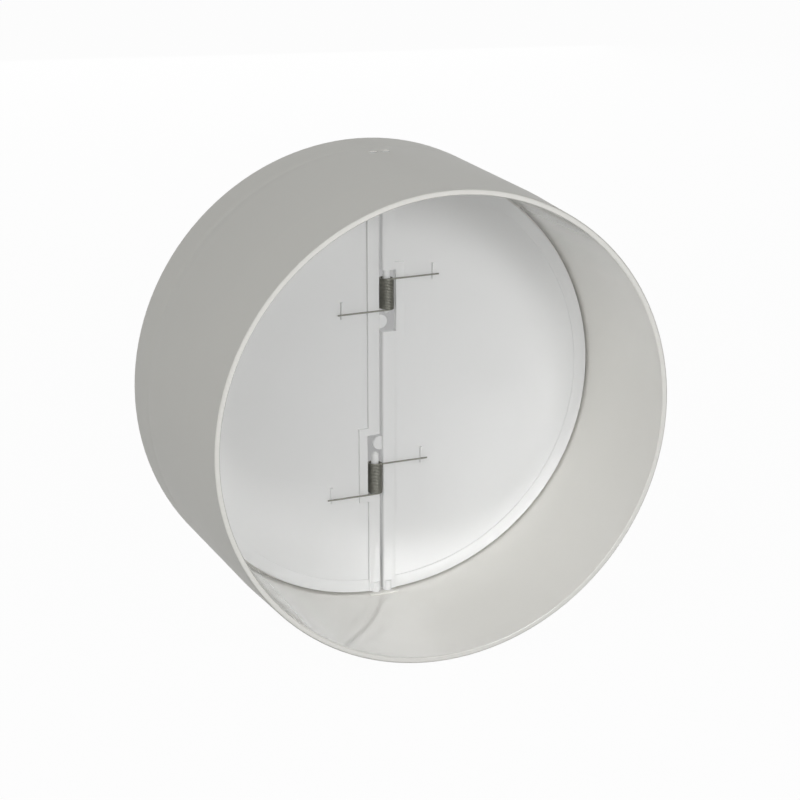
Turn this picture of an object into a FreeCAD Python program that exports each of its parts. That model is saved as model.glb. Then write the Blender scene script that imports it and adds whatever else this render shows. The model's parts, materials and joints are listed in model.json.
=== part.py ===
import FreeCAD, Part
import os
import Sketcher
from FreeCAD import Vector

# Duct backdraft damper: a plain round sleeve with two sprung half-disc flaps.
# The duct axis is Y, with the outlet at -Y and the inlet at +Y. The hinge lines stand along Z.
# The origin is on the duct axis, halfway along the sleeve. Sizes are millimetres.

SIZES = (
    ("collar_diameter", "150", "outside of the straight part of the sleeve"),
    ("collar_length", "75", "rim to rim"),
    ("collar_wall", "1.8", "sleeve wall"),
    ("lead_in_length", "22", "stretch of the sleeve that narrows towards the outlet"),
    ("lead_in_drop", "0.8", "how much the radius falls over the lead-in"),
    ("rim_bevel", "0.4", "bevel of both rims, inside and outside"),
    ("bore_draft", "1.3", "how much the bore narrows from the outlet rim to the seat"),
    ("hinge_setback", "53.6", "outlet rim to the hinge lines"),
    ("hinge_spacing", "4.2", "between the two hinge lines"),
    ("flap_tilt", "4", "closed flap forward of the duct's cross plane, in degrees"),
    ("seat_width", "2.6", "how far the seat ring stands in from the wall"),
    ("seat_thickness", "2.5", "seat ring along the duct, at its thin ends"),
    ("seat_clearance", "0.1", "closed flap to seat ring"),
    ("seat_gap_width", "12", "gap in the seat ring at each end of the hinge lines"),
    ("boss_width", "10", "pin boss across the duct"),
    ("boss_depth", "6", "pin boss along the duct"),
    ("boss_height", "0.2", "pin boss, in from the wall"),
    ("pin_diameter", "2.8", "flap hinge pin"),
    ("pin_clearance", "0.08", "pin to its hole, all round"),
    ("pin_recess", "0.25", "pin end below the sleeve's outside"),
    ("pin_root", "3", "length of the pin inside the flap's rim"),
    ("flap_clearance", "0.5", "flap edge to the sleeve wall"),
    ("flap_back", "1.6", "hinge line to the back of the flap"),
    ("plate_thickness", "1.6", "flap plate"),
    ("band_width", "4", "raised band along the flap's round edge"),
    ("band_rise", "0.3", "band above the plate"),
    ("split_gap", "0.9", "between the two flaps"),
    ("strip_width", "4.2", "raised strip along the hinge edge"),
    ("strip_rise", "0.8", "strip above the plate"),
    ("strip_round", "0.6", "rounding of the strip beside the split"),
    ("surround_width", "7.4", "strip where it frames the spring window"),
    ("surround_margin", "2.4", "frame above and below the window"),
    ("window_start", "16.9", "duct axis to the window's inner end"),
    ("window_length", "20.1", "spring window along the hinge line"),
    ("window_width", "4.6", "spring window across, from the split edge"),
    ("spigot_diameter", "2.5", "pin that the spring sits on"),
    ("spigot_show", "1.4", "spigot tip beyond the spring's room"),
    ("spigot_bevel", "0.8", "bevel that points the spigot's tip"),
    ("tab_reach", "2.4", "tab beyond the duct's middle plane"),
    ("tab_height", "4.4", "tab along the hinge line"),
    ("tab_inset", "1.1", "tab from the inner end of the other flap's window"),
    ("tab_round", "2", "rounding of the tab's end"),
    ("rib_thickness", "0.6", "leg rib across the flap"),
    ("rib_height", "5.4", "leg rib along the hinge line"),
    ("leg_clearance", "0.05", "spring leg to the top of its rib"),
    ("own_rib_distance", "17.6", "middle plane to the rib under the flap's own spring"),
    ("cross_rib_distance", "13.6", "middle plane to the rib under the other flap's spring"),
    ("coil_diameter", "4.8", "spring outside"),
    ("coil_length", "10.5", "spring coil"),
    ("coil_inset", "0.2", "lower coil to the outer end of its window"),
    ("coil_play", "2.1", "room for a spring to slide along its spigot; both hang at its lower end"),
    ("wire_diameter", "0.7", "spring wire, and so the wall of the coil"),
    ("leg_ease", "0.03", "leg inside the coil's section, all round"),
    ("leg_overhang", "1.3", "leg beyond its rib"),
)

# Places worked out from the sizes.
WALL_RADIUS = "(sizes.collar_diameter / 2)"
BORE_RADIUS = "(sizes.collar_diameter / 2 - sizes.collar_wall)"
OUTLET_Y = "(-sizes.collar_length / 2)"
INLET_Y = "(sizes.collar_length / 2)"
RIM_BORE = f"({BORE_RADIUS} - sizes.lead_in_drop)"
SEAT_BORE = f"({RIM_BORE} - sizes.bore_draft)"
HINGE_X = "(sizes.hinge_spacing / 2)"
HINGE_Y = "(sizes.hinge_setback - sizes.collar_length / 2)"
SEAT_BACK = f"({HINGE_Y} + sizes.flap_back + sizes.seat_clearance + sizes.seat_thickness)"
FLAP_RADIUS = f"({SEAT_BORE} - sizes.flap_clearance)"
BLANK_REACH = f"({FLAP_RADIUS} + sizes.flap_clearance)"
WINDOW_END = "(sizes.window_start + sizes.window_length)"
COIL_RADIUS = "((sizes.coil_diameter - sizes.wire_diameter) / 2)"
COIL_RISE = "(sizes.coil_length - sizes.wire_diameter)"
LEG_RADIUS = "(sizes.wire_diameter / 2 - sizes.leg_ease)"
OUTER_LEG_Z = f"({WINDOW_END} - sizes.coil_inset - sizes.wire_diameter / 2)"

# Places across a flap, counted from its own hinge line.
MIDDLE = f"(-{HINGE_X})"
SPLIT_EDGE = f"(sizes.split_gap / 2 - {HINGE_X})"
OWN_RIB = f"(sizes.own_rib_distance - {HINGE_X})"
CROSS_RIB = f"(sizes.cross_rib_distance - {HINGE_X})"

# Planes in front of a flap's hinge line, counted towards the outlet.
BACK_PLANE = "(-sizes.flap_back)"
PLATE_PLANE = "(sizes.plate_thickness - sizes.flap_back)"
BAND_PLANE = f"({PLATE_PLANE} + sizes.band_rise)"
STRIP_PLANE = f"({PLATE_PLANE} + sizes.strip_rise)"
LEG_PLANE = f"({COIL_RADIUS} * cos(sizes.flap_tilt) - {LEG_RADIUS} - sizes.leg_clearance)"

ORIGIN_POINT = (-1, 1)
CENTRE_OF_CIRCLE = 3
HALF_TURN = 180
MATCH = 1e-4


def add_sheet(doc):
    """Keep every driving size in one sheet, a number and an alias to a row."""
    sheet = doc.addObject("Spreadsheet::Sheet", "sizes")
    for row, (alias, number, meaning) in enumerate(SIZES, start=1):
        sheet.set(f"A{row}", meaning)
        sheet.set(f"B{row}", number)
        sheet.setAlias(f"B{row}", alias)
    doc.recompute()


def add_body(doc, name, turned, tilt="0"):
    """Start a piece in its own frame, tilted on the right hinge line or turned over to the left one."""
    body = doc.addObject("PartDesign::Body", name)
    body.Label = name
    place = f"placement(vector({HINGE_X}; {HINGE_Y}; 0); rotation(vector(0; 0; 1); -{tilt}))"
    if turned:
        place = f"placement(vector(0; 0; 0); rotation(vector(0; 1; 0); {HALF_TURN})) * {place}"
    body.setExpression("Placement", place)
    return body


def add_sketch(body, plane, name, offset="0"):
    """Lay a sketch on one of the body's own planes, moved along the plane's normal."""
    sketch = body.newObject("Sketcher::SketchObject", name)
    support = next(item for item in body.Origin.OriginFeatures if item.Role == plane)
    sketch.AttachmentSupport = [(support, "")]
    sketch.MapMode = "FlatFace"
    sketch.setExpression("AttachmentOffset.Base.z", offset)
    return sketch


def value_of(sketch, formula):
    return float(sketch.evalExpression(formula))


def drive(sketch, constraint, formula):
    """Add a dimension and tie it to a formula."""
    index = sketch.addConstraint(constraint)
    sketch.setExpression(f"Constraints[{index}]", formula)


def pin_point(sketch, geometry, point, across, along):
    """Hold one point of the sketch at two formulas, counted from the sketch's origin."""
    for kind, axis, formula in (("DistanceX", -2, across), ("DistanceY", -1, along)):
        if formula == "0":
            sketch.addConstraint(Sketcher.Constraint("PointOnObject", geometry, point, axis))
        else:
            distance = value_of(sketch, formula)
            drive(sketch, Sketcher.Constraint(kind, *ORIGIN_POINT, geometry, point, distance), formula)


def add_loop(sketch, corners):
    """Draw a closed loop of straight edges through corners given as pairs of formulas."""
    first = sketch.GeometryCount
    points = [Vector(value_of(sketch, across), value_of(sketch, along), 0) for across, along in corners]
    for number, start in enumerate(points):
        sketch.addGeometry(Part.LineSegment(start, points[(number + 1) % len(points)]), False)
    for number, (across, along) in enumerate(corners):
        line = first + number
        before = first + (number - 1) % len(corners)
        sketch.addConstraint(Sketcher.Constraint("Coincident", before, 2, line, 1))
        pin_point(sketch, line, 1, across, along)


def add_rectangle(sketch, low, high):
    """Draw a rectangle between two corners."""
    add_loop(sketch, ((low[0], low[1]), (high[0], low[1]), (high[0], high[1]), (low[0], high[1])))


def add_circle(sketch, across, along, radius):
    """Draw a circle about a point."""
    centre = Vector(value_of(sketch, across), value_of(sketch, along), 0)
    size = value_of(sketch, radius)
    circle = sketch.addGeometry(Part.Circle(centre, Vector(0, 0, 1), size), False)
    pin_point(sketch, circle, CENTRE_OF_CIRCLE, across, along)
    drive(sketch, Sketcher.Constraint("Radius", circle, size), radius)


def volume_of(body):
    """The body's volume so far, none before its first feature."""
    return 0 if body.Shape.isNull() else body.Shape.Volume


def add_pad(body, sketch, length, backwards=False):
    """Raise a sketch into a solid."""
    pad = body.newObject("PartDesign::Pad", sketch.Name + "_pad")
    pad.Profile = sketch
    pad.setExpression("Length", length)
    pad.Reversed = backwards
    body.Document.recompute()
    return pad


def add_pocket(body, sketch, length=None, side="One side", backwards=False):
    """Cut a sketch into the solid, right through if no length is given, and see that it cuts."""
    volume = volume_of(body)
    pocket = body.newObject("PartDesign::Pocket", sketch.Name + "_cut")
    pocket.Profile = sketch
    pocket.SideType = side
    if length is None:
        pocket.Type = "ThroughAll"
    else:
        pocket.setExpression("Length", length)
    pocket.Reversed = backwards
    body.Document.recompute()
    if not volume_of(body) < volume:
        raise RuntimeError(f"{pocket.Name} cuts nothing")
    return pocket


def add_turning(body, kind, sketch):
    """Turn a sketch about its own upright axis, to add or to cut, and see that the volume follows."""
    volume = volume_of(body)
    turning = body.newObject(f"PartDesign::{kind}", sketch.Name + "_turned")
    turning.Profile = sketch
    turning.ReferenceAxis = (sketch, ["V_Axis"])
    turning.Angle = 2 * HALF_TURN
    body.Document.recompute()
    if (volume_of(body) > volume) != (kind == "Revolution"):
        raise RuntimeError(f"{turning.Name} does not change the solid")
    return turning


def add_mirror(body, features, name):
    """Repeat features across the piece's own XY plane."""
    mirror = body.newObject("PartDesign::Mirrored", name)
    mirror.Originals = features
    plane = next(item for item in body.Origin.OriginFeatures if item.Role == "XY_Plane")
    mirror.MirrorPlane = (plane, [""])
    body.Tip = mirror
    body.Document.recompute()
    return mirror


def edge_names(feature, wanted):
    """Name the edges of a feature that pass a test."""
    edges = feature.Shape.Edges
    return [f"Edge{number}" for number, edge in enumerate(edges, start=1) if wanted(edge)]


def add_edge_finish(body, kind, base, name, wanted, size):
    """Round or bevel the chosen edges of a feature."""
    names = edge_names(base, wanted)
    if not names:
        raise RuntimeError(f"{name} finds no edge")
    finish = body.newObject(f"PartDesign::{kind}", name)
    finish.Base = (base, names)
    finish.setExpression("Radius" if kind == "Fillet" else "Size", size)
    body.Document.recompute()
    return finish


def near(one, other):
    return abs(one - other) < MATCH


def seat_face(across):
    """Where the seat's face lies along the duct, at a distance across it: behind the closed flap."""
    behind = "(sizes.flap_back + sizes.seat_clearance) / cos(sizes.flap_tilt)"
    return f"({HINGE_Y} + {behind} - ({across} - {HINGE_X}) * tan(sizes.flap_tilt))"


def make_collar(doc):
    """The sleeve, round two sloping half rings that the flaps close on, with its bosses and pin holes."""
    body = doc.addObject("PartDesign::Body", "collar")
    body.Label = "collar"
    ring = add_sketch(body, "XY_Plane", "seat_ring")
    seat_toe = seat_face(WALL_RADIUS)
    add_rectangle(ring, (f"({SEAT_BORE} - sizes.seat_width)", seat_toe),
                  (f"({SEAT_BORE} + sizes.collar_wall / 2)", SEAT_BACK))
    add_turning(body, "Revolution", ring)

    faces = add_sketch(body, "XY_Plane", "seat_faces")
    gap_side = "(sizes.seat_gap_width / 2)"
    add_loop(faces, (
        ("-" + WALL_RADIUS, seat_toe),
        ("-" + gap_side, seat_face(gap_side)),
        ("-" + gap_side, INLET_Y),
        (gap_side, INLET_Y),
        (gap_side, seat_face(gap_side)),
        (WALL_RADIUS, seat_toe),
        (WALL_RADIUS, OUTLET_Y),
        ("-" + WALL_RADIUS, OUTLET_Y),
    ))
    add_pocket(body, faces, side="Symmetric")

    section = add_sketch(body, "XY_Plane", "sleeve_section")
    add_loop(section, (
        (f"({WALL_RADIUS} - sizes.lead_in_drop)", OUTLET_Y),
        (WALL_RADIUS, f"({OUTLET_Y} + sizes.lead_in_length)"),
        (WALL_RADIUS, INLET_Y),
        (BORE_RADIUS, INLET_Y),
        (BORE_RADIUS, SEAT_BACK),
        (SEAT_BORE, SEAT_BACK),
        (RIM_BORE, OUTLET_Y),
    ))
    sleeve = add_turning(body, "Revolution", section)

    rim_y = value_of(section, INLET_Y)
    on_rim = lambda edge: edge.Closed and near(abs(edge.CenterOfMass.y), rim_y)
    add_edge_finish(body, "Chamfer", sleeve, "rim_bevels", on_rim, "sizes.rim_bevel")

    boss = add_sketch(body, "XY_Plane", "pin_boss", f"({SEAT_BORE} - sizes.boss_height)")
    boss_front = f"({HINGE_Y} - sizes.boss_depth / 2)"
    boss_back = f"({HINGE_Y} + sizes.boss_depth / 2)"
    add_rectangle(boss, ("(-sizes.boss_width / 2)", boss_front), ("(sizes.boss_width / 2)", boss_back))
    boss_pad = add_pad(body, boss, "(sizes.boss_height + sizes.collar_wall / 2)")

    holes = add_sketch(body, "XY_Plane", "pin_holes")
    for side in ("-", ""):
        add_circle(holes, side + HINGE_X, HINGE_Y, "(sizes.pin_diameter / 2 + sizes.pin_clearance)")
    holes_cut = add_pocket(body, holes, backwards=True)
    add_mirror(body, [boss_pad, holes_cut], "lower_hinge_end")
    return body


def make_flap(doc, name, turned):
    """A half-disc flap, drawn as the right one; the left one is the same moulding turned half round."""
    body = add_body(doc, name, turned, "sizes.flap_tilt")

    blank = add_sketch(body, "XZ_Plane", "blank", BACK_PLANE)
    add_rectangle(blank, (SPLIT_EDGE, "-" + BLANK_REACH), (BLANK_REACH, BLANK_REACH))
    add_pad(body, blank, "(sizes.plate_thickness + sizes.band_rise)")

    face = add_sketch(body, "XZ_Plane", "face_recess", BAND_PLANE)
    add_circle(face, MIDDLE, "0", f"({FLAP_RADIUS} - sizes.band_width)")
    add_pocket(body, face, "sizes.band_rise")

    strip = add_sketch(body, "XZ_Plane", "hinge_strip", BACK_PLANE)
    strip_side = f"({SPLIT_EDGE} + sizes.strip_width)"
    frame_side = f"({SPLIT_EDGE} + sizes.surround_width)"
    frame_inner = "(sizes.window_start - sizes.surround_margin)"
    frame_outer = f"({WINDOW_END} + sizes.surround_margin)"
    add_loop(strip, (
        (SPLIT_EDGE, "-" + BLANK_REACH),
        (strip_side, "-" + BLANK_REACH),
        (strip_side, frame_inner),
        (frame_side, frame_inner),
        (frame_side, frame_outer),
        (strip_side, frame_outer),
        (strip_side, BLANK_REACH),
        (SPLIT_EDGE, BLANK_REACH),
    ))
    strip_pad = add_pad(body, strip, "(sizes.plate_thickness + sizes.strip_rise)")

    split_x = value_of(strip, SPLIT_EDGE)
    strip_y = -value_of(strip, STRIP_PLANE)
    on_split = lambda edge: near(edge.CenterOfMass.x, split_x) and near(edge.CenterOfMass.y, strip_y)
    add_edge_finish(body, "Fillet", strip_pad, "split_rounding", on_split, "sizes.strip_round")

    trim = add_sketch(body, "XZ_Plane", "round_edge", STRIP_PLANE)
    add_circle(trim, MIDDLE, "0", FLAP_RADIUS)
    add_circle(trim, MIDDLE, "0", f"(2 * {BLANK_REACH})")
    add_pocket(body, trim)

    window = add_sketch(body, "XZ_Plane", "spring_window", STRIP_PLANE)
    window_side = f"({SPLIT_EDGE} + sizes.window_width)"
    add_rectangle(window, (MIDDLE, "sizes.window_start"), (window_side, WINDOW_END))
    add_pocket(body, window)

    spigot = add_sketch(body, "XY_Plane", "spring_spigot", WINDOW_END)
    add_circle(spigot, "0", "0", "(sizes.spigot_diameter / 2)")
    spigot_length = "(sizes.coil_inset + sizes.coil_length + sizes.coil_play + sizes.spigot_show)"
    spigot_pad = add_pad(body, spigot, spigot_length, backwards=True)
    tip_z = value_of(spigot, f"({WINDOW_END} - {spigot_length})")
    on_tip = lambda edge: edge.Closed and near(edge.CenterOfMass.z, tip_z)
    add_edge_finish(body, "Chamfer", spigot_pad, "spigot_tip", on_tip, "sizes.spigot_bevel")

    pin = add_sketch(body, "XY_Plane", "hinge_pin", f"({FLAP_RADIUS} - sizes.pin_root)")
    add_circle(pin, "0", "0", "(sizes.pin_diameter / 2)")
    pin_end = f"(sqrt({WALL_RADIUS}^2 - {HINGE_X}^2) - sizes.pin_recess)"
    pin_pad = add_pad(body, pin, f"({pin_end} - {FLAP_RADIUS} + sizes.pin_root)")
    add_mirror(body, [pin_pad], "lower_pin")

    tab = add_sketch(body, "XZ_Plane", "tab", BACK_PLANE)
    tab_top = "(-sizes.window_start - sizes.tab_inset)"
    tab_end = f"({MIDDLE} - sizes.tab_reach)"
    add_rectangle(tab, (tab_end, f"({tab_top} - sizes.tab_height)"), ("0", tab_top))
    tab_pad = add_pad(body, tab, "sizes.plate_thickness")
    tab_end_x = value_of(tab, tab_end)
    at_tab_end = lambda edge: near(edge.CenterOfMass.x, tab_end_x) and near(edge.BoundBox.ZLength, 0)
    add_edge_finish(body, "Fillet", tab_pad, "tab_rounding", at_tab_end, "sizes.tab_round")

    middle_leg_z = f"({OUTER_LEG_Z} - sizes.coil_play / 2)"
    ribs = (
        ("own_rib", OWN_RIB, middle_leg_z),
        ("cross_rib", CROSS_RIB, f"({COIL_RISE} - {middle_leg_z})"),
    )
    for rib_name, rib_x, rib_z in ribs:
        rib = add_sketch(body, "XZ_Plane", rib_name, BACK_PLANE)
        low_corner = (f"({rib_x} - sizes.rib_thickness / 2)", f"({rib_z} - sizes.rib_height / 2)")
        high_corner = (f"({rib_x} + sizes.rib_thickness / 2)", f"({rib_z} + sizes.rib_height / 2)")
        add_rectangle(rib, low_corner, high_corner)
        add_pad(body, rib, f"({LEG_PLANE} - {rib_x} * sin(sizes.flap_tilt) + sizes.flap_back)")
    return body


def make_spring(doc, name, turned):
    """A torsion spring about its flap's hinge line: its closed coil and a straight leg for each flap."""
    body = add_body(doc, name, turned)
    outer_leg_z = OUTER_LEG_Z if turned else f"({OUTER_LEG_Z} - sizes.coil_play)"
    inner_leg_z = f"({outer_leg_z} - {COIL_RISE})"
    outside = "(sizes.coil_diameter / 2)"
    half_wire = "(sizes.wire_diameter / 2)"

    coil = add_sketch(body, "YZ_Plane", "coil")
    add_rectangle(coil, ("-" + outside, f"({inner_leg_z} - {half_wire})"),
                  (f"(sizes.wire_diameter - {outside})", f"({outer_leg_z} + {half_wire})"))
    add_turning(body, "Revolution", coil)

    past_rib = "sizes.rib_thickness / 2 + sizes.leg_overhang"
    legs = (
        ("own_leg", outer_leg_z, f"({OWN_RIB} + {past_rib})", False),
        ("cross_leg", inner_leg_z, f"({CROSS_RIB} + {past_rib} + sizes.hinge_spacing)", True),
    )
    for leg_name, leg_z, length, backwards in legs:
        leg = add_sketch(body, "YZ_Plane", leg_name)
        add_circle(leg, "-" + COIL_RADIUS, leg_z, LEG_RADIUS)
        add_pad(body, leg, length, backwards)
    return body


def check(doc, bodies):
    """Stop unless every object was worked out and every piece is one sound solid."""
    for item in doc.Objects:
        if "Invalid" in item.State or "Error" in item.State:
            raise RuntimeError(f"{item.Name} failed: {item.State}")
    for body in bodies:
        shape = body.Shape
        if shape.isNull() or not shape.isValid() or len(shape.Solids) != 1:
            raise RuntimeError(f"{body.Label} is not one sound solid")


def main():
    doc = FreeCAD.newDocument("backdraft_damper")
    add_sheet(doc)
    bodies = [
        make_collar(doc),
        make_flap(doc, "right_flap", turned=False),
        make_flap(doc, "left_flap", turned=True),
        make_spring(doc, "upper_spring", turned=False),
        make_spring(doc, "lower_spring", turned=True),
    ]
    doc.recompute()
    check(doc, bodies)
    os.makedirs("parts", exist_ok=True)
    for body in bodies:
        body.Shape.exportStep(os.path.join("parts", body.Label + ".step"))
        box = body.Shape.BoundBox
        print(body.Label, round(body.Shape.Volume, 1), box)


main()
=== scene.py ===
"""Looks of the duct backdraft damper: moulded collar and flaps, wound springs, stage and camera."""

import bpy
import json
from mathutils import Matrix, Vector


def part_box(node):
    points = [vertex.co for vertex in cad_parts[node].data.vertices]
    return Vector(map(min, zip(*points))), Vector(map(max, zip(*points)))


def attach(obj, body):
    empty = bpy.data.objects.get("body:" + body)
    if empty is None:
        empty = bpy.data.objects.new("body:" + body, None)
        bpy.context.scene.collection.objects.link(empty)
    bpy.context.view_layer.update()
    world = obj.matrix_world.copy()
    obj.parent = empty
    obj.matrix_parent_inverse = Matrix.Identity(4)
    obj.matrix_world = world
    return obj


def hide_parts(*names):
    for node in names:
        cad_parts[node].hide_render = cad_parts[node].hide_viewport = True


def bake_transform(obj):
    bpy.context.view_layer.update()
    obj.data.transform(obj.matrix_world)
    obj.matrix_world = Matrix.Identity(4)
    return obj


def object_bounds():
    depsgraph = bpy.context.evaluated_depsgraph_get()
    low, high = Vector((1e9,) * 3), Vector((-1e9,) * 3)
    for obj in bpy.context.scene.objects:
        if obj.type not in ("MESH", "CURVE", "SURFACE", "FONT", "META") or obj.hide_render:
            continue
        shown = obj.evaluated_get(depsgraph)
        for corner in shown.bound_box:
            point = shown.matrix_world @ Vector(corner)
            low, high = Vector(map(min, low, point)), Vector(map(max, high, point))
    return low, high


bl_info = {
    "name": "Duct Backdraft Damper",
    "version": (1, 0, 0),
    "blender": (4, 5, 0),
    "location": "3D View > Sidebar > Damper",
    "description": "Finishes the plastic mouldings and winds the closing springs of a two-flap duct damper",
    "category": "Object",
}

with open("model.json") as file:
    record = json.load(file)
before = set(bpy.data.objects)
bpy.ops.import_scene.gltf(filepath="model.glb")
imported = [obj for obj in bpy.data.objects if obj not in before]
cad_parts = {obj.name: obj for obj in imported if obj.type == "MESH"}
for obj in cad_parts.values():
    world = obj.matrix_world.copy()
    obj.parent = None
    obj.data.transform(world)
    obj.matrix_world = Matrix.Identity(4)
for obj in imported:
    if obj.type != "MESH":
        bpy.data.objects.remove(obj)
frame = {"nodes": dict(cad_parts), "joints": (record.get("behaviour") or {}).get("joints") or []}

import json
import math

import bmesh
import bpy
from bpy.props import FloatProperty, FloatVectorProperty, IntProperty, PointerProperty
from mathutils import Matrix, Quaternion, Vector

CAD_BOX = [list(corner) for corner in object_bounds()]
JOINTS = {joint["name"]: joint for joint in frame["joints"]}
MM = 0.001

FLAPS = ("right_flap", "left_flap")
HALF_TURN = Matrix.Rotation(math.pi, 4, "Y")
FULL_TURN = 2.0 * math.pi
IMAGE_PIXELS = 800
SENSOR_MM = 36.0

# Mouldings
MERGE_DISTANCE = 0.001 * MM
FLAT_ANGLE = math.radians(0.3)
SHARP_ANGLE = math.radians(35.0)
EDGE_SEGMENTS = 3
WALL_UPRIGHT = 0.1      # least share of a normal across the duct on a turned wall
WALL_FACING = 0.999     # least part of that share that lies along the spoke
BEVEL_LEAN = 0.3        # least lean along the duct on the bevel of a rim
RIM_MARGIN = 0.01 * MM

# Moulded plastic
WALL_BLEND = 0.2 * MM   # either side of the line where the bore's finish meets the outside's
OUTER_SKIN = 1.3 * MM   # of the wall, from outside, that has the outside's rougher finish and its darker colour, which is painted shade, lead-in included
DRAW_STRETCH = 0.03     # scale of the grain along the duct, which makes draw lines
GRAIN_HEIGHT = 0.02 * MM
PLASTIC_IOR = 1.5
POLISH_IOR = 1.7
POLISH_ROUGHNESS = 0.1
SINK_PLACE = 23.0 * MM  # along the duct, over the seat
SINK_WIDTH = 2.0 * MM
SINK_DEPTH = 0.25 * MM

# Spring wire
WIRE_PATCHES = 700.0
WIRE_SHADES = (0.75, 1.25)
WIRE_ROUGHNESS = (0.4, 0.6)
BEND_SPAN = (1.2, 6.5)  # in wire diameters from the coil, along the crossing leg

# Stage
WHITE = (1.0, 1.0, 1.0, 1.0)
FLOOR_GREY = (0.6, 0.6, 0.6, 1.0)
FLOOR_ROUGHNESS = 0.9
# Painted shadow band behind the damper: there the floor's white falls to this share, so the lit grey floor
# shows darker.
BAND_WHITE = 0.12
BAND_SIDES = (0.008, 0.045)
BAND_NEAR = (0.03, -0.01)
BAND_FAR = (0.56, 0.7)
FILTER_GLOSSY = 0.1     # low, so that the light that the polished bore throws on the flaps isn't blurred away
LAMPS = (
    # name, place, side of the square, property with the power
    ("front_lamp", (0.181, -0.934, 0.309), 0.3, "front_power"),
    ("side_lamp", (-0.641, -0.641, 0.423), 0.6, "side_power"),
    ("high_lamp", (-0.612, -0.354, 0.707), 0.6, "high_power"),
    ("rear_lamp", (0.25, 0.94, 0.22), 0.6, "rear_power"),
)


# Properties

class DamperFinishes(bpy.types.PropertyGroup):
    """Colours and surface of the mouldings and the spring wire."""

    # One plastic all through: the outside's darker grey below is painted shade, standing in for the light
    # that the bore gets back from its own walls and the flaps.
    collar_colour: FloatVectorProperty(
        name="Collar colour", description="Pale warm grey of the collar's polished bore",
        subtype="COLOR", size=3, min=0.0, max=1.0, default=(0.80, 0.79, 0.75))
    outside_colour: FloatVectorProperty(
        name="Outside painted shade colour", description="Duller grey of the collar's textured outside", subtype="COLOR",
        size=3, min=0.0, max=1.0, default=(0.695, 0.69, 0.65))
    flap_colour: FloatVectorProperty(
        name="Flap colour", description="Off white of the flaps", subtype="COLOR",
        size=3, min=0.0, max=1.0, default=(0.765, 0.77, 0.77))
    wire_colour: FloatVectorProperty(
        name="Wire colour", description="Dull grey of the drawn spring wire", subtype="COLOR",
        size=3, min=0.0, max=1.0, default=(0.22, 0.22, 0.195))
    edge_round: FloatProperty(
        name="Edge round", description="Width of the soft edge on the mouldings", unit="LENGTH",
        min=0.0, default=0.2 * MM)


class DamperSprings(bpy.types.PropertyGroup):
    """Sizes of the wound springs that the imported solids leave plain."""

    wire_diameter: FloatProperty(
        name="Wire diameter", description="Diameter of the spring wire", unit="LENGTH",
        min=0.1 * MM, default=0.5 * MM)
    points_per_turn: IntProperty(
        name="Points per turn", description="Points along the wire in each turn of the coil",
        min=8, default=30)
    wire_sides: IntProperty(
        name="Wire sides", description="Sides of the wire's round section", min=6, default=12)


class DamperStage(bpy.types.PropertyGroup):
    """Camera, floor and lamps."""

    azimuth: FloatProperty(
        name="Camera azimuth", description="Turn of the camera about the upright axis", subtype="ANGLE",
        default=math.radians(-22.957))
    elevation: FloatProperty(
        name="Camera elevation", description="Height of the camera above the horizon", subtype="ANGLE",
        default=math.radians(17.937))
    roll: FloatProperty(
        name="Camera roll", description="Turn of the camera about its own view line", subtype="ANGLE",
        default=math.radians(-0.086))
    distance: FloatProperty(
        name="Camera distance", description="From the camera to the point that it looks at", unit="LENGTH",
        default=0.779)
    focal_pixels: FloatProperty(
        name="Focal length", description="Focal length of the camera in pixels of the image",
        default=2490.9)
    target: FloatVectorProperty(
        name="Camera target", description="The point that the camera looks at", subtype="XYZ",
        unit="LENGTH", size=3, default=(-0.0001, 0.0, -0.00096))
    floor_size: FloatProperty(
        name="Floor size", description="Side of the square floor", unit="LENGTH", default=6.0)
    floor_white: FloatProperty(
        name="Floor white", description="Share of plain white over the lit floor in the picture",
        min=0.0, max=1.0, default=0.97)
    room_light: FloatProperty(
        name="Room light", description="Strength of the even light from all round", default=0.15)
    front_power: FloatProperty(
        name="Front lamp", description="Power of the lamp in front of the outlet",
        unit="POWER", default=3.5)
    side_power: FloatProperty(
        name="Side lamp", description="Power of the large lamp on the left",
        unit="POWER", default=2.5)
    high_power: FloatProperty(
        name="High lamp", description="Power of the large lamp high on the left",
        unit="POWER", default=1.5)
    rear_power: FloatProperty(
        name="Rear lamp", description="Power of the soft lamp behind the inlet",
        unit="POWER", default=2.5)


# Node helpers

def add_node(tree, kind, inputs=None, **options):
    """A node with its options set and its inputs filled by links or by values."""
    node = tree.nodes.new(kind)
    for name, value in options.items():
        setattr(node, name, value)
    for name, value in (inputs or {}).items():
        fill(tree, node.inputs[name], value)
    return node


def fill(tree, socket, value):
    """Links a socket to another one, or sets its value."""
    if isinstance(value, bpy.types.NodeSocket):
        tree.links.new(value, socket)
    else:
        socket.default_value = value


def calculate(tree, operation, first, second=None):
    """The result of one sum on one value or two."""
    node = add_node(tree, "ShaderNodeMath", {0: first}, operation=operation)
    if second is not None:
        fill(tree, node.inputs[1], second)
    return node.outputs[0]


def add_sockets(tree, inputs, outputs):
    """Named inputs with their defaults, and outputs, on a node group."""
    for name, kind, default in inputs:
        socket = tree.interface.new_socket(name, in_out="INPUT", socket_type=kind)
        if default is not None:
            socket.default_value = default
    for name, kind in outputs:
        tree.interface.new_socket(name, in_out="OUTPUT", socket_type=kind)


# Materials

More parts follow.
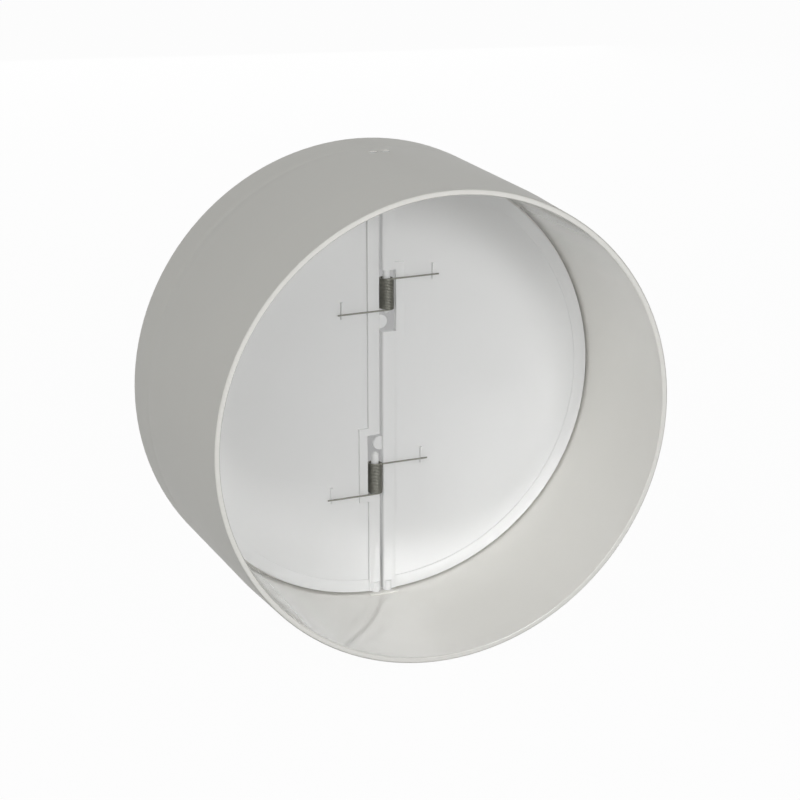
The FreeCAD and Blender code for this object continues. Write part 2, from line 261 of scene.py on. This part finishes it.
def moulding_group():
    """Shared effect: slow random changes of tone, draw lines along the duct, grain, and a rougher outside
    wall whose darker colour is painted shade.
    """
    tree = bpy.data.node_groups.new("moulded_skin", "ShaderNodeTree")
    add_sockets(
        tree,
        (("Colour", "NodeSocketColor", None), ("Outside Colour", "NodeSocketColor", None),
         ("Roughness", "NodeSocketFloat", 0.3), ("Outside Roughness", "NodeSocketFloat", 0.3),
         ("Wall Radius", "NodeSocketFloat", 1.0), ("Unevenness", "NodeSocketFloat", 0.05),
         ("Blotch Scale", "NodeSocketFloat", 25.0), ("Grain Scale", "NodeSocketFloat", 2500.0)),
        (("Colour", "NodeSocketColor"), ("Roughness", "NodeSocketFloat"),
         ("Height", "NodeSocketFloat"), ("Outside", "NodeSocketFloat")))
    given = tree.nodes.new("NodeGroupInput").outputs
    place = tree.nodes.new("ShaderNodeTexCoord").outputs["Object"]

    across = add_node(tree, "ShaderNodeVectorMath", {
        0: place, 1: (1.0, 0.0, 1.0)}, operation="MULTIPLY")
    distance = add_node(tree, "ShaderNodeVectorMath", {
        0: across.outputs["Vector"]}, operation="LENGTH")
    past_wall = calculate(tree, "SUBTRACT", distance.outputs["Value"], given["Wall Radius"])
    outside = add_node(tree, "ShaderNodeMapRange", {
        "Value": past_wall, "From Min": -WALL_BLEND, "From Max": WALL_BLEND}).outputs["Result"]
    # Painted shade: the outside wall takes a darker colour than the bore.
    colour = add_node(tree, "ShaderNodeMix", {
        "Factor": outside, "A": given["Colour"], "B": given["Outside Colour"]}, data_type="RGBA")
    roughness = add_node(tree, "ShaderNodeMix", {
        "Factor": outside, "A": given["Roughness"], "B": given["Outside Roughness"]})

    blotch = add_node(tree, "ShaderNodeTexNoise", {
        "Vector": place, "Scale": given["Blotch Scale"], "Detail": 1.0})
    uneven = calculate(tree, "SUBTRACT", blotch.outputs["Fac"], 0.5)
    uneven = calculate(tree, "MULTIPLY", uneven, given["Unevenness"])
    shade = add_node(tree, "ShaderNodeVectorMath", {
        0: colour.outputs["Result"], "Scale": calculate(tree, "ADD", 1.0, uneven)}, operation="SCALE")

    drawn = add_node(tree, "ShaderNodeMapping", {"Vector": place, "Scale": (1.0, DRAW_STRETCH, 1.0)})
    lines = add_node(tree, "ShaderNodeTexNoise", {
        "Vector": drawn.outputs["Vector"], "Scale": given["Grain Scale"], "Detail": 2.0})
    grain = add_node(tree, "ShaderNodeTexNoise", {
        "Vector": place, "Scale": given["Grain Scale"], "Detail": 2.0})
    result = tree.nodes.new("NodeGroupOutput").inputs
    fill(tree, result["Colour"], shade.outputs["Vector"])
    fill(tree, result["Roughness"], calculate(tree, "ADD", roughness.outputs["Result"], uneven))
    fill(tree, result["Height"], calculate(tree, "ADD", lines.outputs["Fac"], grain.outputs["Fac"]))
    fill(tree, result["Outside"], outside)
    return tree


def new_material(name):
    """An empty node material with its output, and its Principled shader."""
    material = bpy.data.materials.new(name)
    material.use_nodes = True
    tree = material.node_tree
    tree.nodes.clear()
    shader = tree.nodes.new("ShaderNodeBsdfPrincipled")
    output = tree.nodes.new("ShaderNodeOutputMaterial")
    tree.links.new(shader.outputs["BSDF"], output.inputs["Surface"])
    return material, tree, shader


def sink_ring(tree, outside, normal):
    """The shallow sink mark that the seat leaves round the outside of the collar, added to a normal."""
    place = tree.nodes.new("ShaderNodeTexCoord").outputs["Object"]
    along = add_node(tree, "ShaderNodeSeparateXYZ", {"Vector": place}).outputs["Y"]
    offset = calculate(tree, "DIVIDE", calculate(tree, "SUBTRACT", along, SINK_PLACE), SINK_WIDTH)
    square = calculate(tree, "MULTIPLY", offset, offset)
    bell = calculate(tree, "POWER", math.e, calculate(tree, "MULTIPLY", square, -1.0))
    dent = calculate(tree, "MULTIPLY", calculate(tree, "MULTIPLY", bell, outside), -1.0)
    return add_node(tree, "ShaderNodeBump", {
        "Height": dent, "Strength": 1.0, "Distance": SINK_DEPTH, "Normal": normal}).outputs["Normal"]


def moulded_plastic(name, colour, grain_depth, specular, bore_polish=0.0, **look):
    """A moulded plastic dressed by the shared skin, with a polished bore and a sink ring where asked."""
    material, tree, shader = new_material(name)
    skin = bpy.data.node_groups.get("moulded_skin") or moulding_group()
    # The collar's darker outside colour is painted shade; without it the outside keeps the main colour.
    outside_colour = look.pop("outside_colour", colour)
    surface = add_node(tree, "ShaderNodeGroup", node_tree=skin)
    fill(tree, surface.inputs["Colour"], (*colour, 1.0))
    fill(tree, surface.inputs["Outside Colour"], (*outside_colour, 1.0))
    for socket, value in look.items():
        fill(tree, surface.inputs[socket.replace("_", " ").title()], value)
    bump = add_node(tree, "ShaderNodeBump", {
        "Height": surface.outputs["Height"], "Strength": grain_depth, "Distance": GRAIN_HEIGHT})
    fill(tree, shader.inputs["Base Color"], surface.outputs["Colour"])
    fill(tree, shader.inputs["Roughness"], surface.outputs["Roughness"])
    fill(tree, shader.inputs["Normal"], bump.outputs["Normal"])
    shader.inputs["Specular IOR Level"].default_value = specular
    shader.inputs["IOR"].default_value = PLASTIC_IOR
    if bore_polish:
        outside = surface.outputs["Outside"]
        fill(tree, shader.inputs["Normal"], sink_ring(tree, outside, bump.outputs["Normal"]))
        polish = add_node(tree, "ShaderNodeMapRange", {
            "Value": outside, "To Min": bore_polish, "To Max": 0.0})
        fill(tree, shader.inputs["Coat Weight"], polish.outputs["Result"])
        shader.inputs["Coat Roughness"].default_value = POLISH_ROUGHNESS
        shader.inputs["Coat IOR"].default_value = POLISH_IOR
    return material


def spring_steel(name, colour):
    """Drawn steel wire, dull and slightly uneven."""
    material, tree, shader = new_material(name)
    place = tree.nodes.new("ShaderNodeTexCoord").outputs["Object"]
    patch = add_node(tree, "ShaderNodeTexNoise", {"Vector": place, "Scale": WIRE_PATCHES, "Detail": 3.0})
    dark, light = ((*[part * shade for part in colour], 1.0) for shade in WIRE_SHADES)
    shade = add_node(tree, "ShaderNodeMix", {
        "Factor": patch.outputs["Fac"], "A": dark, "B": light}, data_type="RGBA")
    roughness = add_node(tree, "ShaderNodeMapRange", {
        "Value": patch.outputs["Fac"], "To Min": WIRE_ROUGHNESS[0], "To Max": WIRE_ROUGHNESS[1]})
    fill(tree, shader.inputs["Base Color"], shade.outputs["Result"])
    fill(tree, shader.inputs["Roughness"], roughness.outputs["Result"])
    shader.inputs["Metallic"].default_value = 1.0
    return material


# Mouldings

def soften(node, width):
    """Joins the loose facets of a moulding, rounds its sharp edges a little and smooths its shading."""
    weld = node.modifiers.new("weld", "WELD")
    weld.merge_threshold = MERGE_DISTANCE
    flat = node.modifiers.new("flat_faces", "DECIMATE")
    flat.decimate_type = "DISSOLVE"
    flat.angle_limit = FLAT_ANGLE
    bevel = node.modifiers.new("soft_edges", "BEVEL")
    bevel.width = width
    bevel.segments = EDGE_SEGMENTS
    bevel.limit_method = "ANGLE"
    bevel.angle_limit = SHARP_ANGLE
    bevel.harden_normals = True
    for face in node.data.polygons:
        face.use_smooth = True


def turned_normal(lean, point, outwards):
    """The normal of a turned surface at a point, from how far its facet leans along the duct."""
    spoke = Vector((point.x, 0.0, point.z)).normalized()
    across = math.sqrt(max(0.0, 1.0 - lean * lean))
    return spoke * (across if outwards else -across) + Vector((0.0, lean, 0.0))


def facet_normals(mesh, rim):
    """One normal for each face corner: true on the turned walls, rounded over on the rims, flat elsewhere."""
    normals = []
    for face in mesh.polygons:
        flat = face.normal
        spoke = Vector((face.center.x, 0.0, face.center.z)).normalized()
        facing = flat.dot(spoke)
        upright = math.sqrt(max(0.0, 1.0 - flat.y ** 2))
        turned = upright > WALL_UPRIGHT and abs(facing) > WALL_FACING * upright
        bevel = turned and abs(flat.y) > BEVEL_LEAN
        for index in face.vertices:
            point = mesh.vertices[index].co
            if not turned:
                normals.append(flat)
            elif bevel and abs(point.y) > rim:
                normals.append(Vector((0.0, math.copysign(1.0, flat.y), 0.0)))
            else:
                normals.append(turned_normal(0.0 if bevel else flat.y, point, facing > 0.0))
    return normals


def smooth_copy(node_name, name):
    """A merged copy of a turned moulding, with the shading of true round walls."""
    mesh = frame["nodes"][node_name].data.copy()
    mesh.name = name
    joined = bmesh.new()
    joined.from_mesh(mesh)
    bmesh.ops.remove_doubles(joined, verts=joined.verts, dist=MERGE_DISTANCE)
    joined.to_mesh(mesh)
    joined.free()
    for face in mesh.polygons:
        face.use_smooth = True
    mesh.normals_split_custom_set(facet_normals(mesh, CAD_BOX[1][1] - RIM_MARGIN))
    piece = bpy.data.objects.new(name, mesh)
    bpy.context.scene.collection.objects.link(piece)
    return piece


def dress(node_name, material):
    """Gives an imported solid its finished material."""
    node = frame["nodes"][node_name]
    node.data.materials.clear()
    node.data.materials.append(material)
    return node


class DAMPER_OT_collar(bpy.types.Operator):
    """Finish the collar moulding"""

    bl_idname = "damper.collar"
    bl_label = "Collar"

    def execute(self, context):
        finishes = context.scene.damper_finishes
        outer_radius = CAD_BOX[1][0]
        # The outside's darker colour is painted shade for the light that the bore gets back from its walls
        # and flaps; its rougher finish is real.
        plastic = moulded_plastic(
            "collar_plastic", finishes.collar_colour, grain_depth=0.25, specular=0.25, bore_polish=1.0,
            outside_colour=finishes.outside_colour, roughness=0.2, outside_roughness=0.5,
            wall_radius=outer_radius - OUTER_SKIN)
        piece = smooth_copy("collar", "collar_moulding")
        piece.data.materials.clear()
        piece.data.materials.append(plastic)
        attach(piece, "collar")
        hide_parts("collar")
        return {"FINISHED"}


class DAMPER_OT_flaps(bpy.types.Operator):
    """Finish the two flap mouldings"""

    bl_idname = "damper.flaps"
    bl_label = "Flaps"

    def execute(self, context):
        finishes = context.scene.damper_finishes
        plastic = moulded_plastic(
            "flap_plastic", finishes.flap_colour, grain_depth=0.08, specular=0.5,
            roughness=0.25, unevenness=0.02)
        for name in FLAPS:
            soften(dress(name, plastic), finishes.edge_round)
        return {"FINISHED"}


# Springs

SPRING_INPUTS = (
    ("Coil Radius", "NodeSocketFloat", None),
    ("Turns", "NodeSocketFloat", None),
    ("Pitch", "NodeSocketFloat", None),
    ("Leg Length", "NodeSocketFloat", None),
    ("Wire Radius", "NodeSocketFloat", None),
    ("Wire Sides", "NodeSocketInt", None),
    ("Points", "NodeSocketInt", None),
    ("Material", "NodeSocketMaterial", None),
)


def spring_half_tree():
    """Half a torsion spring: a straight leg that runs along X into the front of a coil rising along Z."""
    tree = bpy.data.node_groups.new("spring_half", "GeometryNodeTree")
    add_sockets(tree, SPRING_INPUTS, (("Geometry", "NodeSocketGeometry"),))
    given = tree.nodes.new("NodeGroupInput").outputs
    radius = given["Coil Radius"]

    once_round = calculate(tree, "MULTIPLY", radius, FULL_TURN)
    round_coil = calculate(tree, "MULTIPLY", once_round, given["Turns"])
    length = calculate(tree, "ADD", round_coil, given["Leg Length"])
    factor = tree.nodes.new("GeometryNodeSplineParameter").outputs["Factor"]
    run = calculate(tree, "MULTIPLY", factor, length)
    past_leg = calculate(tree, "SUBTRACT", run, given["Leg Length"])
    angle = calculate(tree, "DIVIDE", calculate(tree, "MAXIMUM", past_leg, 0.0), radius)
    across = calculate(tree, "MULTIPLY", radius, calculate(tree, "SINE", angle))
    across = calculate(tree, "ADD", across, calculate(tree, "MINIMUM", past_leg, 0.0))
    forward = calculate(tree, "MULTIPLY", radius, calculate(tree, "COSINE", angle))
    forward = calculate(tree, "MULTIPLY", forward, -1.0)
    rise = calculate(tree, "MULTIPLY", calculate(tree, "DIVIDE", angle, FULL_TURN), given["Pitch"])
    place = add_node(tree, "ShaderNodeCombineXYZ", {"X": across, "Y": forward, "Z": rise})

    line = tree.nodes.new("GeometryNodeCurvePrimitiveLine")
    points = add_node(tree, "GeometryNodeResampleCurve", {
        "Curve": line.outputs["Curve"], "Count": given["Points"]})
    path = add_node(tree, "GeometryNodeSetPosition", {
        "Geometry": points.outputs["Curve"], "Position": place.outputs["Vector"]})
    upright = add_node(tree, "GeometryNodeSetCurveNormal", {
        "Curve": path.outputs["Geometry"]}, mode="Z_UP")
    section = add_node(tree, "GeometryNodeCurvePrimitiveCircle", {
        "Resolution": given["Wire Sides"], "Radius": given["Wire Radius"]})
    wire = add_node(tree, "GeometryNodeCurveToMesh", {
        "Curve": upright.outputs["Curve"], "Profile Curve": section.outputs["Curve"], "Fill Caps": True})
    real = add_node(tree, "GeometryNodeRealizeInstances", {"Geometry": wire.outputs["Mesh"]})
    steel = add_node(tree, "GeometryNodeSetMaterial", {
        "Geometry": real.outputs["Geometry"], "Material": given["Material"]})
    fill(tree, tree.nodes.new("NodeGroupOutput").inputs["Geometry"], steel.outputs["Geometry"])
    return tree


def grow(name, tree, values):
    """A new object whose plain mesh is what the node tree makes from the named values."""
    piece = bpy.data.objects.new(name, bpy.data.meshes.new(name))
    bpy.context.scene.collection.objects.link(piece)
    modifier = piece.modifiers.new("grow", "NODES")
    modifier.node_group = tree
    for socket in tree.interface.items_tree:
        if socket.in_out == "INPUT":
            modifier[socket.identifier] = values[socket.name]
    shape = piece.evaluated_get(bpy.context.evaluated_depsgraph_get())
    mesh = bpy.data.meshes.new_from_object(shape)
    piece.modifiers.remove(modifier)
    piece.data = mesh
    mesh.name = name
    for face in mesh.polygons:
        face.use_smooth = True
    return piece


def upright_box(node_name, turn):
    """A node's lowest and highest corners once it is turned to stand as the upper spring does."""
    corners = [turn @ Vector(corner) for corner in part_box(node_name)]
    low = Vector([min(values) for values in zip(*corners)])
    high = Vector([max(values) for values in zip(*corners)])
    return low, high


class DAMPER_OT_springs(bpy.types.Operator):
    """Wind the two torsion springs, each in two halves with a leg each"""

    bl_idname = "damper.springs"
    bl_label = "Springs"

    def execute(self, context):
        sizes = context.scene.damper_springs
        steel = spring_steel("spring_steel", context.scene.damper_finishes.wire_colour)
        tree = spring_half_tree()
        hinge = Vector(JOINTS["right_flap_hinge"]["pos_m"])
        wire = sizes.wire_diameter
        for spring, own_flap, other_flap, turn in (
                ("upper_spring", "right_flap", "left_flap", Matrix.Identity(4)),
                ("lower_spring", "left_flap", "right_flap", HALF_TURN)):
            low, high = upright_box(spring, turn)
            coil_radius = (high.y - low.y - wire) / 2
            inner = low.z + wire / 2
            outer = high.z - wire / 2
            middle = (inner + outer) / 2
            half_turns = round((outer - inner) / wire / 2)
            pitch = (outer - inner) / half_turns / 2
            bend = hinge.x - coil_radius
            for half, flap, leg, start_z, facing, ends in (
                    ("own", own_flap, high.x - hinge.x, outer, HALF_TURN,
                     ((hinge.x, hinge.y, middle), (hinge.x, hinge.y, outer - wire / 2))),
                    ("cross", other_flap, hinge.x - low.x, inner, Matrix.Identity(4),
                     [(bend - reach * wire, hinge.y, inner) for reach in BEND_SPAN])):
                turns_in_leg = leg / (FULL_TURN * coil_radius)
                piece = grow(f"{spring}_{half}_half", tree, {
                    "Coil Radius": coil_radius, "Turns": half_turns, "Pitch": pitch, "Leg Length": leg,
                    "Wire Radius": wire / 2, "Wire Sides": sizes.wire_sides,
                    "Points": round((turns_in_leg + half_turns) * sizes.points_per_turn), "Material": steel})
                piece.data.transform(turn @ Matrix.Translation((hinge.x, hinge.y, start_z)) @ facing)
                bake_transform(piece)
                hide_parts(spring)
        return {"FINISHED"}


# Stage

def look_from(stage):
    """Turn of the camera and its place, from its angles, distance and target."""
    flat = math.cos(stage.elevation)
    back = Vector((
        math.sin(stage.azimuth) * flat, -math.cos(stage.azimuth) * flat, math.sin(stage.elevation)))
    turn = (-back).to_track_quat("-Z", "Y") @ Quaternion((0.0, 0.0, 1.0), stage.roll)
    return turn, Vector(stage.target) + back * stage.distance


def seen_directly(tree):
    """One for what the camera, a reflection or a clear material looks at, and none for light on a surface."""
    path = tree.nodes.new("ShaderNodeLightPath").outputs
    seen = calculate(tree, "MAXIMUM", path["Is Camera Ray"], path["Is Glossy Ray"])
    return calculate(tree, "MAXIMUM", seen, path["Is Transmission Ray"])


def fade(tree, value, start, end):
    """One up to the start, then a soft fall to none at the end."""
    return add_node(tree, "ShaderNodeMapRange", {
        "Value": value, "From Min": start, "From Max": end, "To Min": 1.0, "To Max": 0.0},
        interpolation_type="SMOOTHSTEP").outputs["Result"]


def shadow_band(tree, stage):
    """One over a painted shadow band on the floor behind the damper, which shows through the split from the
    camera's side, with soft edges.
    """
    place = tree.nodes.new("ShaderNodeTexCoord").outputs["Object"]
    turned = add_node(tree, "ShaderNodeMapping", {
        "Vector": place, "Rotation": (0.0, 0.0, -stage.azimuth)})
    away = add_node(tree, "ShaderNodeSeparateXYZ", {"Vector": turned.outputs["Vector"]}).outputs
    across = fade(tree, calculate(tree, "ABSOLUTE", away["X"]), *BAND_SIDES)
    along = calculate(tree, "MULTIPLY", fade(tree, away["Y"], *BAND_FAR), fade(tree, away["Y"], *BAND_NEAR))
    return calculate(tree, "MULTIPLY", across, along)


def add_floor(stage, height):
    """A pale floor just under the collar, white to the camera except in a painted shadow band behind the
    damper, where the lit grey floor and its real shadows show.
    """
    side = stage.floor_size / 2
    mesh = bpy.data.meshes.new("floor")
    corners = [(x * side, y * side, height) for x, y in ((-1, -1), (1, -1), (1, 1), (-1, 1))]
    mesh.from_pydata(corners, [], [(0, 1, 2, 3)])
    floor = bpy.data.objects.new("floor", mesh)
    bpy.context.scene.collection.objects.link(floor)
    material, tree, shader = new_material("floor_paper")
    shader.inputs["Base Color"].default_value = FLOOR_GREY
    shader.inputs["Roughness"].default_value = FLOOR_ROUGHNESS
    share = add_node(tree, "ShaderNodeMapRange", {
        "Value": shadow_band(tree, stage), "To Min": stage.floor_white, "To Max": BAND_WHITE})
    white = tree.nodes.new("ShaderNodeEmission").outputs["Emission"]
    mix = add_node(tree, "ShaderNodeMixShader", {
        "Fac": calculate(tree, "MULTIPLY", seen_directly(tree), share.outputs["Result"]),
        1: shader.outputs["BSDF"], 2: white})
    output = next(node for node in tree.nodes if node.type == "OUTPUT_MATERIAL")
    tree.links.new(mix.outputs["Shader"], output.inputs["Surface"])
    mesh.materials.append(material)


def add_world(strength):
    """Even light from all round, and a white background."""
    world = bpy.data.worlds.new("white_room")
    world.use_nodes = True
    bpy.context.scene.world = world
    tree = world.node_tree
    tree.nodes.clear()
    room = add_node(tree, "ShaderNodeBackground", {"Color": WHITE, "Strength": strength})
    white = add_node(tree, "ShaderNodeBackground", {"Color": WHITE, "Strength": 1.0})
    mix = add_node(tree, "ShaderNodeMixShader", {
        "Fac": seen_directly(tree), 1: room.outputs["Background"], 2: white.outputs["Background"]})
    output = tree.nodes.new("ShaderNodeOutputWorld")
    tree.links.new(mix.outputs["Shader"], output.inputs["Surface"])


def add_lamp(name, place, target, size, power):
    """A square soft lamp that faces a point, on its own object."""
    lamp = bpy.data.lights.new(name, "AREA")
    lamp.size = size
    lamp.energy = power
    holder = bpy.data.objects.new(name, lamp)
    bpy.context.scene.collection.objects.link(holder)
    holder.location = place
    holder.rotation_mode = "QUATERNION"
    holder.rotation_quaternion = (Vector(target) - Vector(place)).to_track_quat("-Z", "Y")
    return holder


class DAMPER_OT_stage(bpy.types.Operator):
    """Set up the camera, the lamps, the floor and the white background"""

    bl_idname = "damper.stage"
    bl_label = "Stage"

    def execute(self, context):
        scene = context.scene
        stage = scene.damper_stage
        scene.view_settings.view_transform = "Standard"
        scene.cycles.blur_glossy = FILTER_GLOSSY
        camera = bpy.data.objects.new("camera", bpy.data.cameras.new("camera"))
        scene.collection.objects.link(camera)
        camera.data.sensor_width = SENSOR_MM
        camera.data.lens = stage.focal_pixels * SENSOR_MM / IMAGE_PIXELS
        camera.rotation_mode = "QUATERNION"
        camera.rotation_quaternion, camera.location = look_from(stage)
        scene.camera = camera
        add_floor(stage, CAD_BOX[0][2])
        add_world(stage.room_light)
        for name, place, size, power in LAMPS:
            lamp = add_lamp(name, place, stage.target, size, getattr(stage, power))
            lamp.visible_glossy = name != "rear_lamp"
        return {"FINISHED"}


# Panel and registration

class DAMPER_PT_panel(bpy.types.Panel):
    """Sidebar panel with the damper's pieces"""

    bl_idname = "DAMPER_PT_panel"
    bl_label = "Duct Backdraft Damper"
    bl_space_type = "VIEW_3D"
    bl_region_type = "UI"
    bl_category = "Damper"

    def draw(self, context):
        for group_name, kind in GROUPS.items():
            box = self.layout.box()
            for name in kind.__annotations__:
                box.prop(getattr(context.scene, group_name), name)
        for operator in OPERATORS:
            self.layout.operator(operator.bl_idname)


GROUPS = {
    "damper_finishes": DamperFinishes,
    "damper_springs": DamperSprings,
    "damper_stage": DamperStage,
}
OPERATORS = (DAMPER_OT_collar, DAMPER_OT_flaps, DAMPER_OT_springs, DAMPER_OT_stage)
CLASSES = (*GROUPS.values(), *OPERATORS, DAMPER_PT_panel)


def register():
    for item in CLASSES:
        bpy.utils.register_class(item)
    for name, group in GROUPS.items():
        setattr(bpy.types.Scene, name, PointerProperty(type=group))


def unregister():
    for name in GROUPS:
        delattr(bpy.types.Scene, name)
    for item in reversed(CLASSES):
        bpy.utils.unregister_class(item)


def main():
    register()
    bpy.ops.damper.collar()
    bpy.ops.damper.flaps()
    bpy.ops.damper.springs()
    bpy.ops.damper.stage()


if __name__ == "__main__":
    main()
